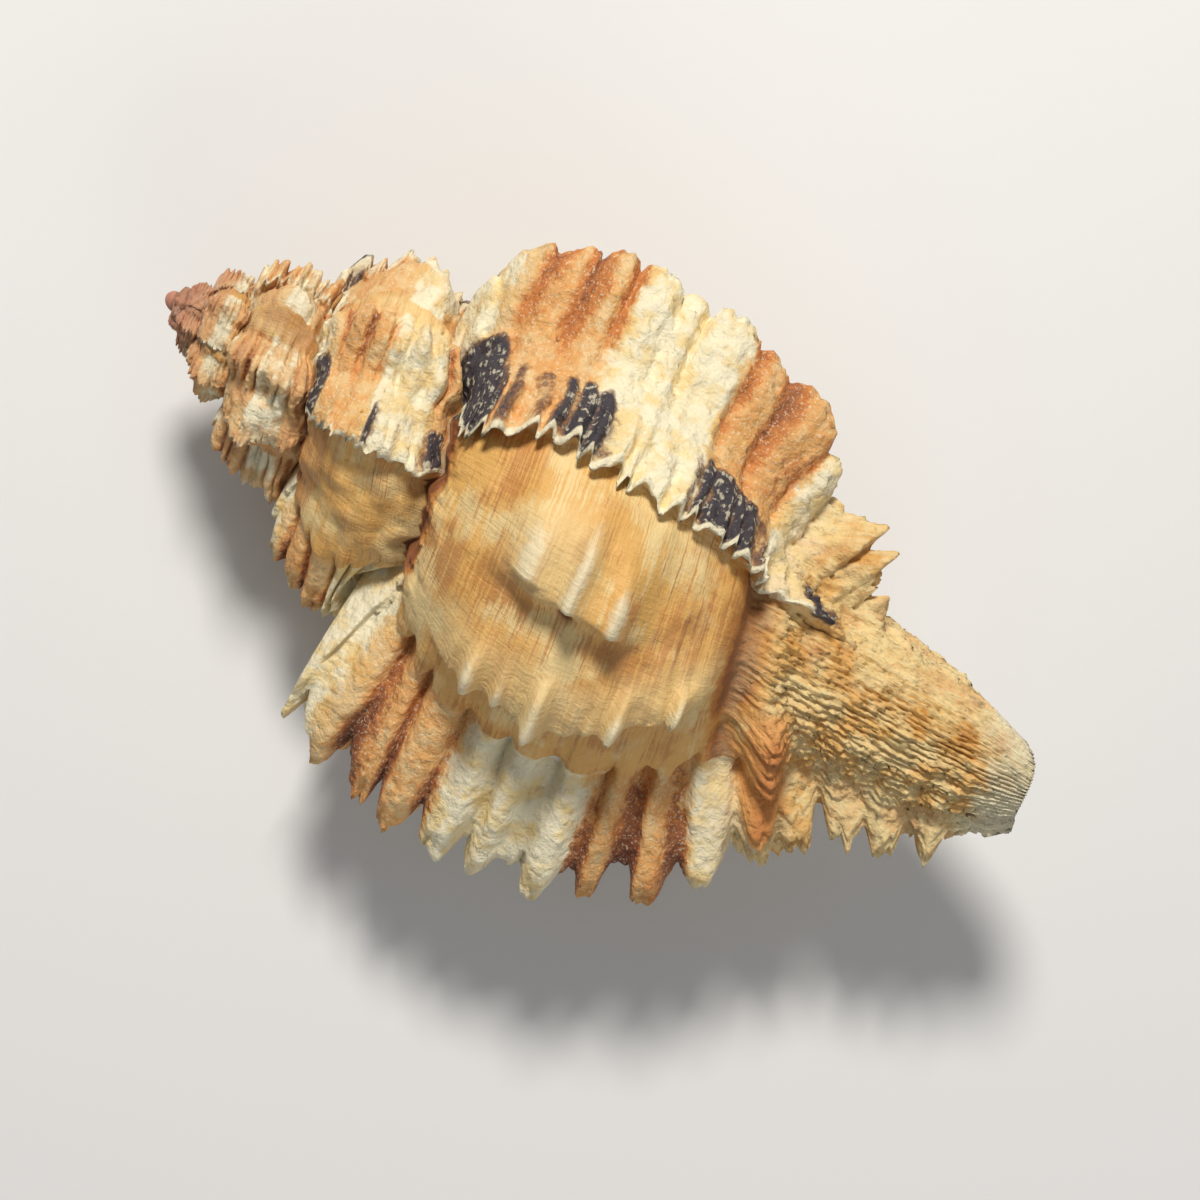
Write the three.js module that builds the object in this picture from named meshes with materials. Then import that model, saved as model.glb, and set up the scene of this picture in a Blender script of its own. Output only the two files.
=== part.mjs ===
// A murex shell lying on its aperture, as one closed solid. Millimetres, +Z up, apex -X, canal +X.
//
// The shell is grown by a rule. Its outline, from the suture down to the tip of the canal, is
// carried round the coiling axis and shrunk towards the apex. Each pause in growth leaves a varix:
// a spiny ridge along the whole outline. A place on the shell is given by its turn, in degrees back
// from the last varix's crest, and by its reach, in millimetres along the full-size outline from
// the suture.
import * as THREE from 'three';

// Growth. Length and width grow at different rates, and both slow down towards the lip.
const axialGrowth = { perDegree: 0.001855, slowing: 0.16, slowingTurn: 100 };
const radialGrowth = { perDegree: 0.0013, slowing: 0.08, slowingTurn: 200 };

// The turns are columns of the net, a whole number to the whorl, so that each suture closes.
const whorl = 360;
const columnDegrees = 6;
const columnsPerWhorl = whorl / columnDegrees;
const lipTurn = -48;
const nucleusTurn = lipTurn + 4 * whorl;
const crestAzimuth = -88;   // of turn 0, from the zenith towards +Y

// The outline at full size, every outlineStep along it: distance down the axis from the apex, and radius.
const outlineStep = 4;
const outline = [
  [30.2, 11.2], [31.2, 15.0], [33.8, 18.0], [37.2, 20.0], [41.1, 21.0], [45.1, 21.3],
  [49.1, 20.8], [52.9, 19.5], [56.3, 17.4], [59.3, 14.7], [61.8, 11.6], [64.8, 9.3],
  [68.6, 8.5], [72.5, 8.0], [76.6, 7.2], [80.8, 5.9], [85.0, 3.8],
];
const outlineReach = outlineStep * (outline.length - 1);
const spireReach = { lip: 21.5, early: 36.4, turn: 110 };

// The varices: turn of each crest, its height beside the growth of the shell, the shares of that
// height at the suture and at the base, and where the low apron in front of it ends.
const varices = [
  [0, 1.0, 1.0, 1.0, 70], [-17, 0.93, 1.0, 1.0, 70], [150, 1.12, 0.42, 1.0, 42],
  [252, 0.56, 1.4, 2.3, 42], [354, 0.9, 0.6, 1.0, 42], [480, 0.7, 0.6, 1.0, 42],
  [546, 0.75, 0.6, 1.0, 42], [636, 0.8, 0.6, 1.0, 42], [714, 0.9, 0.6, 1.0, 42],
  [798, 0.8, 0.7, 1.0, 42], [876, 0.9, 0.7, 1.0, 42], [954, 0.8, 0.8, 1.0, 42],
  [1032, 0.8, 0.8, 1.0, 42], [1110, 0.7, 0.8, 1.0, 42], [1188, 0.6, 0.8, 1.0, 42],
  [1266, 0.5, 0.8, 1.0, 42],
];
// The crest's height, and its lean down the axis per millimetre of height, every outlineStep.
const crestHeight = [
  13.0, 12.5, 10.7, 9.2, 8.4, 9.0, 8.0, 8.5, 8.1, 8.7, 7.4, 6.4, 2.6, 2.2, 2.4, 1.2, 0.4,
];
const crestLean = [
  -0.13, -0.06, 0.03, 0.03, 0.02, 0.04, 0.12, 0.18, 0.27, 0.42, 0.6, 0.7, 0.6, 0.5, 0.4, 0.3, 0.2,
];
const shoulderReach = 10;
const baseReach = { from: 24, to: 34 };
const varixShape = { back: 27, front: 12, apron: 0.17, drop: 4 };
const canalVarixEnd = { from: 44, to: 50, turn: 100 };
const cordSpacing = 4.1;
const cordDepth = 0.24;

// The humps between varices: turn, half width in turn, reach, half width in reach, height.
const humps = [
  [74, 12, 20, 7, 4.2], [36, 9, 21, 12, 1.7], [372, 14, 14, 9, 2.4], [528, 20, 16, 10, 6.0],
  [846, 18, 17, 11, 6.0], [440, 14, 15, 9, 3.0], [200, 16, 18, 9, 1.6], [296, 14, 18, 9, 1.6],
  [594, 12, 16, 8, 3.5], [672, 12, 16, 8, 3.0], [756, 12, 16, 8, 4.0], [915, 12, 16, 8, 4.0],
  [993, 12, 16, 8, 4.0], [1071, 12, 16, 8, 4.0],
];

// The canal: its tip is drawn out level over the back, and bends up a little.
const canalExtension = { length: 10, from: 0, full: 178, until: 190, gone: 246 };
const canalBend = { from: 55, rise: 3.2, over: 30 };

// The aperture and the hollow behind it.
const wall = 1.4;
const canalWall = 0.8;
const pillarGlaze = 0.6;
const throatReach = { top: 3.5, head: 32, corner: 3 };
const throatShares = { wallShare: 0.45, headShare: 0.62 };
const throatTurns = [0, 8, 18, 28, 38, 50, 62, 74, 86];
const throatEnd = { x: 38, r: 12 };
const troughHead = 57;
const troughRings = [
  { along: 0.96, inward: 0.85 },
  { along: 0.8, inward: 0.6 },
  { along: 0.5, inward: 0.5 },
  { along: 0.2, inward: 0.5 },
];

// The nucleus, a blunt dome.
const nucleusRings = 3;
const nucleusTop = 0;

// How the shell lies on its lip and its ventral varix: degrees about X, then about Y.
const restRoll = -0.52;
const restPitch = -2.4;

const degrees = Math.PI / 180;
const clamp = (x, low, high) => Math.min(Math.max(x, low), high);
const smooth = (low, high, x) => {
  const t = clamp((x - low) / (high - low), 0, 1);
  return t * t * (3 - 2 * t);
};
const bell = (x, half) => Math.exp(-((x / half) ** 2));
const mix = (a, b, t) => a + (b - a) * t;

const grown = (g, turn) => Math.exp(-g.perDegree * turn + g.slowing * (1 - Math.exp(-turn / g.slowingTurn)));
const axial = turn => grown(axialGrowth, turn);
const radial = turn => Math.exp(-radialGrowth.perDegree * turn
  - radialGrowth.slowing * (1 - Math.exp(-turn / radialGrowth.slowingTurn)));

// A smooth curve through equally spaced values.
function alongSteps(values, reach) {
  const t = clamp(reach / outlineStep, 0, values.length - 1.001);
  const i = Math.floor(t);
  const at = k => values[clamp(k, 0, values.length - 1)];
  const u = t - i;
  return 0.5 * (2 * at(i) + (at(i + 1) - at(i - 1)) * u
    + (2 * at(i - 1) - 5 * at(i) + 4 * at(i + 1) - at(i + 2)) * u * u
    + (3 * at(i) - at(i - 1) - 3 * at(i + 1) + at(i + 2)) * u * u * u);
}
const outlineDown = reach => alongSteps(outline.map(p => p[0]), reach);
const outlineRadius = reach => alongSteps(outline.map(p => p[1]), reach);

// Where a whorl disappears under the next one.
const coveredReach = turn => spireReach.early
  - (spireReach.early - spireReach.lip) * Math.exp(-Math.max(turn - lipTurn - whorl, 0) / spireReach.turn);

const tipExtension = turn => canalExtension.length
  * smooth(canalExtension.from, canalExtension.full, turn)
  * (1 - smooth(canalExtension.until, canalExtension.gone, turn));

// How high the nearest varix stands here, as a share of the lip's crest.
function varixHeight(turn, reach) {
  let height = 0;
  for (const [crest, size, shoulder, base, apronEnd] of varices) {
    const forward = crest - turn;
    const { back, front, apron, drop } = varixShape;
    const ahead = (apron + (1 - apron) * bell(forward, front));
    const share = forward < 0
      ? smooth(-back, 3, forward)
      : ahead * (1 - smooth(apronEnd, apronEnd + drop, forward));
    const older = crest > canalVarixEnd.turn ? smooth(canalVarixEnd.from, canalVarixEnd.to, reach) : 0;
    const along = mix(shoulder, 1, smooth(0, shoulderReach, reach))
      * mix(1, base, smooth(baseReach.from, baseReach.to, reach)) * (1 - older);
    height = Math.max(height, share * size * along);
  }
  return height;
}

// Relief over the plain whorl, in full-size millimetres.
function relief(turn, reach) {
  const cord = 1 - cordDepth * (0.5 - 0.5 * Math.cos(2 * Math.PI * (reach - 1.1) / cordSpacing));
  let height = varixHeight(turn, reach) * alongSteps(crestHeight, reach) * cord;
  for (const [at, halfTurn, middle, halfReach, rise] of humps)
    height += rise * bell(turn - at, halfTurn) * bell(reach - middle, halfReach);
  return height;
}

// A point of the outer surface, as distance down the axis, radius and turn.
function outside(turn, share, body) {
  const covered = coveredReach(turn);
  const reach = body ? mix(covered, outlineReach, share) : covered * share;
  const sx = axial(turn);
  const sr = radial(turn);
  let x = outlineDown(reach) * sx;
  let r = outlineRadius(reach) * sr;
  let fade = smooth(0, 2.2, reach);
  if (!body && turn >= lipTurn + whorl) {
    const weld = smooth(0.45, 1, share);
    x += weld * (outline[0][0] * axial(turn - whorl) - outlineDown(covered) * sx);
    r += weld * (outline[0][1] * radial(turn - whorl) - outlineRadius(covered) * sr);
    fade *= 1 - smooth(0.86, 1, share);
  }
  if (body) {
    const down = (reach - covered) / (outlineReach - covered);
    x += tipExtension(turn) * down * down;
    fade *= 1 - smooth(lipTurn + whorl - 60, lipTurn + whorl, turn);
  }
  const rise = relief(turn, reach) * sr * fade;
  x += rise * alongSteps(crestLean, reach);
  r += rise;
  return { x, r, turn };
}

// From axis distances to the shell's own space.
function place({ x, r, turn }) {
  const azimuth = (crestAzimuth + turn) * degrees;
  const bend = canalBend.rise * Math.max(0, (x - canalBend.from) / canalBend.over) ** 2;
  return new THREE.Vector3(x, r * Math.sin(azimuth), r * Math.cos(azimuth) + bend);
}

// The net: numbered vertices and four-sided cells.
const vertices = [];
const triangles = [];
const add = point => vertices.push(point) - 1;
function cell(a, b, c, d) {
  if (a !== b && b !== c && c !== a) triangles.push(a, b, c);
  if (a !== c && c !== d && d !== a) triangles.push(a, c, d);
}

const spireRows = 9;
const bodyRows = 18;
const columns = (nucleusTurn - lipTurn) / columnDegrees;
const turnOf = column => lipTurn + column * columnDegrees;

function growWhorls() {
  const spire = [];
  for (let c = 0; c <= columns; c++) {
    spire.push([]);
    for (let row = 0; row < spireRows; row++)
      spire[c].push(add(place(outside(turnOf(c), row / spireRows, false))));
  }
  const body = [];
  for (let c = 0; c <= columnsPerWhorl; c++) {
    body.push([]);
    for (let row = 0; row <= bodyRows; row++) {
      const welded = row === 0 && c === columnsPerWhorl;
      body[c].push(welded ? spire[0][0] : add(place(outside(turnOf(c), row / bodyRows, true))));
    }
  }
  spire.forEach((column, c) => column.push(c < columnsPerWhorl ? body[c][0] : spire[c - columnsPerWhorl][0]));
  for (let c = 0; c < columns; c++)
    for (let row = 0; row < spireRows; row++)
      cell(spire[c][row], spire[c][row + 1], spire[c + 1][row + 1], spire[c + 1][row]);
  for (let c = 0; c < columnsPerWhorl; c++)
    for (let row = 0; row < bodyRows; row++)
      cell(body[c][row], body[c][row + 1], body[c + 1][row + 1], body[c + 1][row]);
  return { spire, body };
}

// Rings of vertices from a closed rim to a middle point.
function closeOver(rim, ringPoint, rings, middle) {
  let outer = rim;
  for (let ring = 1; ring <= rings; ring++) {
    const inner = rim.map((vertex, i) => add(ringPoint(vertex, i, ring)));
    outer.forEach((vertex, i) => {
      const next = (i + 1) % rim.length;
      cell(vertex, inner[i], inner[next], outer[next]);
    });
    outer = inner;
  }
  const centre = add(middle);
  outer.forEach((vertex, i) => triangles.push(vertex, centre, outer[(i + 1) % rim.length]));
}

function closeNucleus(spire) {
  const rim = [];
  for (let c = columns; c > columns - columnsPerWhorl; c--) rim.push(spire[c][0]);
  for (let row = spireRows; row > 0; row--) rim.push(spire[columns][row]);
  closeOver(rim, (vertex, i, ring) => {
    const t = ring / (nucleusRings + 1);
    const { x, y, z } = vertices[vertex];
    const shrink = Math.cos(Math.PI / 2 * t);
    const sink = 1 - Math.sin(Math.PI / 2 * t);
    return new THREE.Vector3(mix(nucleusTop, x, sink), y * shrink, z * shrink);
  }, nucleusRings, new THREE.Vector3(nucleusTop, 0, 0));
}

// The section of the hollow whorl this many degrees behind the lip, at a share of the way round
// it: down the outer wall, across the head of the canal, and back up the pillar.
function section(behind, share) {
  const turn = lipTurn + behind;
  const outer = reach => {
    const before = [outlineDown(reach - 0.5), outlineRadius(reach - 0.5)];
    const after = [outlineDown(reach + 0.5), outlineRadius(reach + 0.5)];
    const length = Math.hypot(after[0] - before[0], after[1] - before[1]);
    return {
      x: outlineDown(reach) * axial(turn) + wall * (after[1] - before[1]) / length,
      r: outlineRadius(reach) * radial(turn) - wall * (after[0] - before[0]) / length,
    };
  };
  const pillar = reach => ({
    x: outlineDown(reach) * axial(turn + whorl),
    r: outlineRadius(reach) * radial(turn + whorl) + pillarGlaze,
  });
  const { wallShare, headShare } = throatShares;
  if (share < wallShare) return outer(mix(throatReach.top, throatReach.head, share / wallShare));
  const head = outer(throatReach.head);
  const foot = pillar(outlineReach - 3);
  if (share < headShare) {
    const t = (share - wallShare) / (headShare - wallShare);
    return { x: mix(head.x, foot.x, t), r: mix(head.r, foot.r, t) };
  }
  const up = (share - headShare) / (1 - headShare);
  return pillar(mix(outlineReach - 3, coveredReach(turn + whorl) + throatReach.corner, up));
}

// The trough of the canal: along it by distance down the axis, and across it from the lip's side
// (-1) to the other (1).
function trough(down, across) {
  const radius = outlineRadius(reachAtDown(down));
  const lipSide = (crestAzimuth + lipTurn) * degrees;
  const slitSide = mix(236, 104, smooth(52, 80, down)) * degrees;
  const a = [Math.sin(lipSide) * (radius - canalWall), Math.cos(lipSide) * (radius - canalWall)];
  const b = [Math.sin(slitSide) * 2.2, Math.cos(slitSide) * 2.2];
  const t = (across + 1) / 2;
  const depth = (1 + 0.6 * radius) * (1 - across * across);
  const chord = Math.hypot(b[0] - a[0], b[1] - a[1]);
  const bend = canalBend.rise * Math.max(0, (down - canalBend.from) / canalBend.over) ** 2;
  return new THREE.Vector3(
    down,
    mix(a[0], b[0], t) - depth * (b[1] - a[1]) / chord,
    mix(a[1], b[1], t) + depth * (b[0] - a[0]) / chord + bend,
  );
}
function reachAtDown(down) {
  let low = 0;
  let high = outlineReach;
  for (let i = 0; i < 30; i++) {
    const middle = (low + high) / 2;
    if (outlineDown(middle) < down) low = middle;
    else high = middle;
  }
  return low;
}

function closeThroat(spire, body) {
  const { wallShare, headShare } = throatShares;
  const sideShare = mix(wallShare, headShare, 0.35);
  const rim = [];
  const places = [];
  const follow = (vertex, share, across, canal) => {
    rim.push(vertex);
    places.push({ share, across, canal });
  };
  for (let row = 0; row < spireRows; row++) {
    const reach = spireReach.lip * row / spireRows;
    follow(spire[0][row], wallShare * reach / throatReach.head, -1, 0);
  }
  for (let row = 0; row <= bodyRows; row++) {
    const reach = mix(spireReach.lip, outlineReach, row / bodyRows);
    const beyond = clamp((reach - throatReach.head) / (outlineReach - throatReach.head), 0, 1);
    const share = beyond > 0
      ? mix(wallShare, sideShare, beyond)
      : wallShare * reach / throatReach.head;
    follow(body[0][row], share, -1, smooth(throatReach.head - 6, throatReach.head + 8, reach));
  }
  for (let c = 1; c <= columnsPerWhorl; c++) {
    const turn = turnOf(c);
    const round = (turn - lipTurn) / (canalExtension.until + 10 - lipTurn);
    const across = clamp(2 * round - 1, -1, 1);
    follow(body[c][bodyRows], mix(sideShare, headShare, c / columnsPerWhorl), across, 1);
  }
  for (let row = bodyRows - 1; row > 0; row--) {
    const t = 1 - row / bodyRows;
    follow(body[columnsPerWhorl][row], mix(headShare, 1, t), 1, 1 - smooth(0.02, 0.3, t));
  }
  closeOver(rim, (vertex, i, ring) => {
    const { share, across, canal } = places[i];
    const deep = place({ ...section(throatTurns[ring - 1], share), turn: lipTurn + throatTurns[ring - 1] });
    const { along, inward } = troughRings[Math.min(ring, troughRings.length) - 1];
    const shallow = trough(mix(troughHead, vertices[vertex].x, along), across * inward);
    return deep.lerp(shallow, canal * (ring <= troughRings.length ? 1 : 0));
  }, throatTurns.length, place({ ...throatEnd, turn: lipTurn + throatTurns.at(-1) + 10 }));
}

const { spire, body } = growWhorls();
closeNucleus(spire);
closeThroat(spire, body);

// Laid to rest, with the middle of its footprint at the origin.
for (const vertex of vertices) {
  vertex.applyAxisAngle(new THREE.Vector3(1, 0, 0), restRoll * degrees);
  vertex.applyAxisAngle(new THREE.Vector3(0, 1, 0), restPitch * degrees);
}
const box = new THREE.Box3().setFromPoints(vertices);
const middle = box.getCenter(new THREE.Vector3());
for (const vertex of vertices) vertex.sub(new THREE.Vector3(middle.x, middle.y, box.min.z));

const geometry = new THREE.BufferGeometry();
geometry.setIndex(triangles);
const positions = vertices.flatMap(v => v.toArray());
geometry.setAttribute('position', new THREE.Float32BufferAttribute(positions, 3));
const material = new THREE.MeshStandardMaterial({ color: 0xd9b27a, roughness: 0.75, metalness: 0 });
const shell = new THREE.Mesh(geometry, material);
shell.name = 'shell';
const part = new THREE.Group();
part.add(shell);
export default part;
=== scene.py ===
# %% [markdown]
# # A murex shell
#
# A shell is a record of its own growth. One outline, from the suture down to the tip of the canal,
# is carried round the coiling axis while it grows. Each pause in growth leaves a varix: a frilled,
# spiny ridge along the whole outline.
#
# This notebook builds a net of points that know only two things: how many degrees behind the lip
# they grew (`turn`), and how far along the outline they sit (`across`). Geometry Nodes then turn
# those two numbers into places, and the material turns them into colours.

import math

import bpy
import numpy as np
from mathutils import Euler, Matrix, Vector


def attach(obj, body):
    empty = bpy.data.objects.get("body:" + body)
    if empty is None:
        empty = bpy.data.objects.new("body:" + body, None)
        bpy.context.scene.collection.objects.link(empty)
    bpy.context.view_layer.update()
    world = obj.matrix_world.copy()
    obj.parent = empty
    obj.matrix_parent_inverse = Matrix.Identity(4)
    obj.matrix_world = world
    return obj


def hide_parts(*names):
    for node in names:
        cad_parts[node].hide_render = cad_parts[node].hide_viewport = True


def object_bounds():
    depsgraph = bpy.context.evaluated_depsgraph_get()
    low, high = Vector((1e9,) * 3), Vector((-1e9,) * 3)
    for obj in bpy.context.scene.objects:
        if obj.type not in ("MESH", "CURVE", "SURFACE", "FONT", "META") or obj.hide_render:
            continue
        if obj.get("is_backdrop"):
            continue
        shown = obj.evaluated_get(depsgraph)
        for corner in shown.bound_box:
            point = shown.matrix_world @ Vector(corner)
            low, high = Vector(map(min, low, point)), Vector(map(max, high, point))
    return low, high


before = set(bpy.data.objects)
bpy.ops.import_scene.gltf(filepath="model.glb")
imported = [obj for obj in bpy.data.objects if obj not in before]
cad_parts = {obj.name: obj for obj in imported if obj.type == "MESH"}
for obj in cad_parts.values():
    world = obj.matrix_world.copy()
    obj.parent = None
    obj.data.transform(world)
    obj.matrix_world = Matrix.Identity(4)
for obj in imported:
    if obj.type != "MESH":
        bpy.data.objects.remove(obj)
scene = bpy.context.scene


def box_size():
    low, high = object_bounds()
    return [list(low), list(high)]


sizes = {"cad": box_size()}
print("the CAD shell spans", [round((b - a) * 1000, 1) for a, b in zip(*sizes["cad"])], "mm")

# %% [markdown]
# ## Growth, in numbers
#
# Lengths are in millimetres on the full-grown shell. A `turn` is in degrees back from the crest of
# the last varix. `reach` is the distance along the outline from the suture.

# %%
WHORL = 360
COLUMN = 0.75
COLUMNS = int(WHORL / COLUMN)
SPIRE_ROWS = 78
BODY_ROWS = 150
LIP = -48
WHORLS = 6
CREST_AZIMUTH = -88

STEP = 4
OUTLINE_DOWN = [30.2, 31.2, 33.8, 37.2, 41.1, 45.1, 49.1, 52.9, 56.3, 59.3, 61.8, 64.8, 68.6, 72.5,
                76.6, 80.8, 85.0]
OUTLINE_RADIUS = [11.2, 15.0, 18.0, 20.0, 21.0, 21.3, 20.8, 19.5, 17.4, 14.7, 11.6, 9.3, 8.5, 8.0,
                  7.2, 5.9, 3.8]
CREST_HEIGHT = [13.0, 12.5, 10.7, 9.2, 8.4, 9.0, 8.0, 8.5, 8.1, 8.7, 7.4, 6.4, 2.6, 2.2, 2.4, 1.2,
                0.4]
CREST_LEAN = [-0.13, -0.06, 0.03, 0.03, 0.02, 0.04, 0.12, 0.18, 0.27, 0.42, 0.6, 0.7, 0.6, 0.5, 0.4,
              0.3, 0.2]
REACH = STEP * (len(OUTLINE_DOWN) - 1)
COVERED_LIP = 21.5
COVERED_EARLY = 36.4
COVERED_TURN = 110

# Turn of each crest, height, share of it at the suture and at the base, and the end of its apron.
VARICES = [
    (0, 1.0, 1.0, 1.0, 70), (-17, 0.93, 1.0, 1.0, 70), (150, 1.12, 0.42, 1.0, 42),
    (252, 0.56, 1.4, 2.3, 42), (354, 0.9, 0.6, 1.0, 42), (480, 0.7, 0.6, 1.0, 42),
    (552, 0.7, 0.6, 1.0, 9), (636, 0.8, 0.6, 1.0, 42), (714, 0.9, 0.6, 1.0, 42),
    (798, 0.8, 0.7, 1.0, 42), (880, 0.8, 0.7, 1.0, 12), (954, 0.8, 0.8, 1.0, 42),
    (1032, 0.8, 0.8, 1.0, 42), (1110, 0.7, 0.8, 1.0, 42), (1188, 0.6, 0.8, 1.0, 42),
    (1266, 0.8, 0.8, 1.0, 42), (1344, 0.7, 0.8, 1.0, 42), (1422, 0.7, 0.8, 1.0, 42),
    (1500, 0.7, 0.8, 1.0, 42), (1578, 0.6, 0.8, 1.0, 42), (1656, 0.6, 0.8, 1.0, 42),
    (1734, 0.5, 0.8, 1.0, 42), (1812, 0.5, 0.8, 1.0, 42), (1890, 0.4, 0.8, 1.0, 42),
]
# Turn, half width in turn, reach, half width in reach, and height of each hump between varices.
HUMPS = [
    (372, 14, 14, 9, 2.4), (528, 20, 16, 10, 6.0), (846, 18, 17, 11, 6.0), (440, 14, 15, 9, 3.0),
    (200, 16, 18, 9, 1.6), (296, 14, 18, 9, 1.6), (594, 12, 16, 8, 3.5), (672, 12, 16, 8, 3.0),
    (756, 12, 16, 8, 4.0), (915, 12, 16, 8, 4.0), (993, 12, 16, 8, 4.0), (1071, 12, 16, 8, 4.0),
]
CORD = 4.1

REST_ROLL = -0.52
REST_PITCH = -2.4
APEX = Vector((-42.53, 4.1, 15.65))
LAY = (Euler((0, math.radians(REST_PITCH), 0)).to_matrix()
       @ Euler((math.radians(REST_ROLL), 0, 0)).to_matrix())
MILLIMETRE = 0.001


def axial(turn):
    return np.exp(-0.001855 * turn + 0.16 * (1 - np.exp(-turn / 100)))


def radial(turn):
    return np.exp(-0.0013 * turn - 0.08 * (1 - np.exp(-turn / 200)))


def down(reach):
    return np.interp(reach, np.arange(len(OUTLINE_DOWN)) * STEP, OUTLINE_DOWN)


def radius(reach):
    return np.interp(reach, np.arange(len(OUTLINE_RADIUS)) * STEP, OUTLINE_RADIUS)


def smooth(low, high, x):
    t = np.clip((x - low) / (high - low), 0, 1)
    return t * t * (3 - 2 * t)


def mix(a, b, t):
    return a + (b - a) * t


def place(x, r, turn):
    azimuth = np.radians(CREST_AZIMUTH + turn)
    bend = 3.2 * np.maximum(0, (x - 55) / 30) ** 2
    return np.stack([x, r * np.sin(azimuth), r * np.cos(azimuth) + bend], -1)


# %% [markdown]
# ## The net
#
# The spire is one long strip wound round the axis. Its lower edge is glued to the upper edge of the
# whorl one turn younger, so the suture is closed by construction. The last whorl goes on below it as
# the body and the canal. Every point carries its `turn` and its `across`, and numbers that say how
# far away the varices on either side of it are.

# %%
columns = WHORLS * COLUMNS
spire_ids = np.arange((columns + 1) * SPIRE_ROWS).reshape(columns + 1, SPIRE_ROWS)
body_ids = spire_ids.size + np.arange((COLUMNS + 1) * (BODY_ROWS + 1)).reshape(COLUMNS + 1, -1)
body_ids[COLUMNS, 0] = spire_ids[0, 0]
glued = np.concatenate([body_ids[:COLUMNS, 0], spire_ids[: columns + 1 - COLUMNS, 0]])
spire_net = np.column_stack([spire_ids, glued])


def quads(net):
    corners = net[:-1, :-1], net[:-1, 1:], net[1:, 1:], net[1:, :-1]
    return np.stack(corners, -1).reshape(-1, 4)


column_turns = LIP + COLUMN * np.arange(columns + 1)
count = spire_ids.size + (COLUMNS + 1) * (BODY_ROWS + 1)
turn = np.zeros(count)
across = np.zeros(count)
on_body = np.zeros(count)
turn[: spire_ids.size] = np.repeat(column_turns, SPIRE_ROWS)
across[: spire_ids.size] = np.tile(np.arange(SPIRE_ROWS) / SPIRE_ROWS, columns + 1)
turn[spire_ids.size :] = np.repeat(column_turns[: COLUMNS + 1], BODY_ROWS + 1)
across[spire_ids.size :] = np.tile(np.arange(BODY_ROWS + 1) / BODY_ROWS, COLUMNS + 1)
on_body[spire_ids.size :] = 1
faces = [quads(spire_net), quads(body_ids)]
print("the outer net has", count, "points")

# %% [markdown]
# The open ends are closed by rings. The nucleus gets a little dome. The aperture's rings run from
# the lip into the hollow whorl, and from the tip of the canal up its trough.

# %%
inner_places = []
inner_hollow = []


def close_over(rim, ring_places, middle, hollow):
    outer = np.asarray(rim)
    for points in ring_places:
        inner = count + sum(len(p) for p in inner_places) + np.arange(len(rim))
        inner_places.append(points)
        inner_hollow.append(np.full(len(points), hollow))
        faces.append(np.stack([outer, inner, np.roll(inner, -1), np.roll(outer, -1)], -1))
        outer = inner
    centre = count + sum(len(p) for p in inner_places)
    inner_places.append(np.array([middle]))
    inner_hollow.append([hollow])
    fan = [outer, np.full(len(outer), centre), np.roll(outer, -1)]
    faces.append(np.stack(fan + [np.roll(outer, -1)], -1))


def plain_place(ids):
    t, v, body = (np.append(values, 0)[ids] for values in (turn, across, on_body))
    covered = COVERED_EARLY - (COVERED_EARLY - COVERED_LIP) * np.exp(
        -np.maximum(t - LIP - WHORL, 0) / COVERED_TURN)
    reach = np.where(body > 0, covered + (REACH - covered) * v, covered * v)
    return place(down(reach) * axial(t), radius(reach) * radial(t), t)


rim = np.concatenate([spire_ids[columns : columns - COLUMNS : -1, 0], [glued[columns]],
                      spire_ids[columns, :0:-1]])
rim_places = plain_place(rim)
domes = []
for ring in (1, 2, 3, 4, 5):
    slope = math.pi / 2 * ring / 6
    domes.append(rim_places * [1 - math.sin(slope), math.cos(slope), math.cos(slope)])
close_over(rim, domes, (0, 0, 0), 0)

WALL, CANAL_WALL, GLAZE = 1.4, 0.8, 0.6
WALL_SHARE, HEAD_SHARE = 0.45, 0.62
THROAT_TOP, THROAT_HEAD, THROAT_CORNER = 3.5, 32, 3
THROAT_TURNS = [0, 2, 8, 13, 18, 28, 38, 50, 62, 74, 86]
TROUGH = [(0.97, 0.9), (0.95, 0.82), (0.8, 0.6), (0.65, 0.55), (0.5, 0.5), (0.2, 0.5)]
TROUGH_HEAD = 57
CANAL_FULL_UNTIL = 190


def section(behind, share):
    """The hollow whorl's section this far behind the lip: the outer wall, the head, the pillar."""
    here = LIP + behind
    top = mix(THROAT_TOP, THROAT_HEAD, np.minimum(share / WALL_SHARE, 1))
    along = np.stack([down(top + 0.5) - down(top - 0.5), radius(top + 0.5) - radius(top - 0.5)])
    along = along / np.hypot(*along)
    outer = np.stack([down(top) * axial(here) + WALL * along[1],
                      radius(top) * radial(here) - WALL * along[0]])
    up = np.clip((share - HEAD_SHARE) / (1 - HEAD_SHARE), 0, 1)
    covered = COVERED_EARLY - (COVERED_EARLY - COVERED_LIP) * math.exp(
        -max(here - LIP, 0) / COVERED_TURN)
    low = mix(REACH - 3, covered + THROAT_CORNER, up)
    pillar = np.stack([down(low) * axial(here + WHORL), radius(low) * radial(here + WHORL) + GLAZE])
    t = smooth(0, 1, np.clip((share - WALL_SHARE) / (HEAD_SHARE - WALL_SHARE), 0, 1))
    return mix(outer, pillar, t)


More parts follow.
